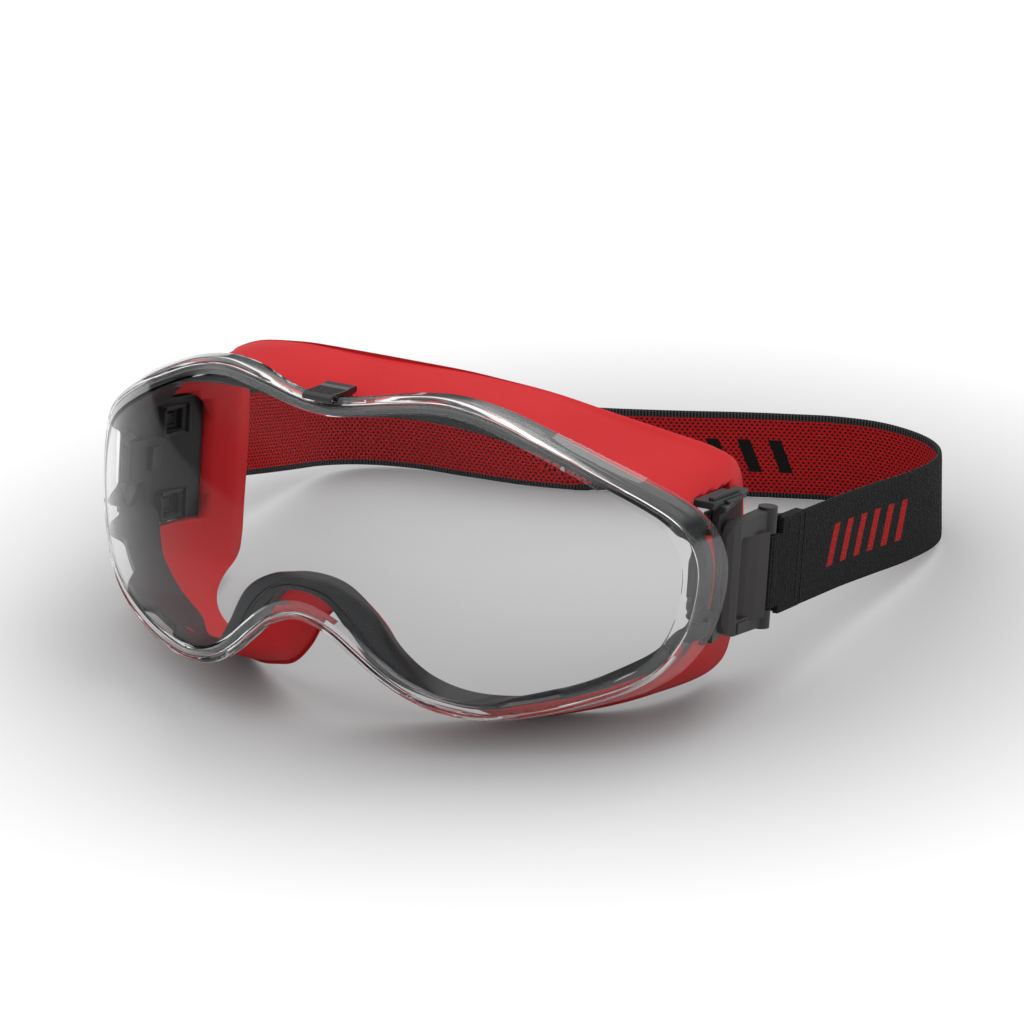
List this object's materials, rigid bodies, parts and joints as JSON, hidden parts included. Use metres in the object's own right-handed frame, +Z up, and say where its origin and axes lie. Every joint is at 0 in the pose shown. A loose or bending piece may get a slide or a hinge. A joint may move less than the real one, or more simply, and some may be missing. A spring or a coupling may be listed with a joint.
{
  "type": "sports protective goggles",
  "caption": "Over-the-head sports goggles: clear wrap-around visor on a rigid ring, soft red face seal, hinged side clips and an elastic headband with a length slider",
  "frame": {"origin": "on the floor, under the middle of the whole assembly as it lies at rest", "axes": "X runs across the face with +X the wearer's left, -Y is the way the visor faces, +Y runs back along the headband, +Z is up"},
  "size_m": [0.1954, 0.2132, 0.0951],
  "materials": {
    "lens": "clear polished polycarbonate",
    "housing": "satin dark grey moulded nylon",
    "seal": "matte red soft elastomer with a fine grain",
    "webbing": "black ribbed elastic webbing, red mesh on the inside",
    "pin": "plain steel"
  },
  "bodies": {
    "frame": {"lens": "lens", "frame_ring": "housing", "face_seal": "seal", "side_housing_left": "housing", "side_housing_right": "housing", "side_cover_left": "housing", "side_cover_right": "housing", "strap_yoke_left": "housing", "strap_yoke_right": "housing", "pivot_pin_left": "pin", "pivot_pin_right": "pin", "headband": "webbing"},
    "swivel_left": {"strap_end_left": "webbing"},
    "swivel_right": {"strap_end_right": "webbing"},
    "slider": {"strap_slider": "housing"},
    "latch": {"top_latch": "housing"}
  },
  "joints": [
    {"name": "strap_pivot_left", "type": "hinge", "parent": "frame", "child": "swivel_left", "pos_m": [0.094, -0.02526, 0.03797], "axis": [0, -0.1736, -0.9848], "range_deg": [-35, 75]},
    {"name": "strap_pivot_right", "type": "hinge", "parent": "frame", "child": "swivel_right", "pos_m": [-0.094, -0.02526, 0.03797], "axis": [0, 0.1736, 0.9848], "range_deg": [-35, 75]},
    {"name": "strap_slider_travel", "type": "slide", "parent": "frame", "child": "slider", "axis": [0.0269, 0.9596, -0.2801], "range_m": [0, 0.02]},
    {"name": "top_latch_hinge", "type": "hinge", "parent": "frame", "child": "latch", "pos_m": [0, -0.08321, 0.08941], "axis": [1, 0, 0], "range_deg": [-8, 0], "stiffness_Nm_per_rad": 0.02}
  ]
}
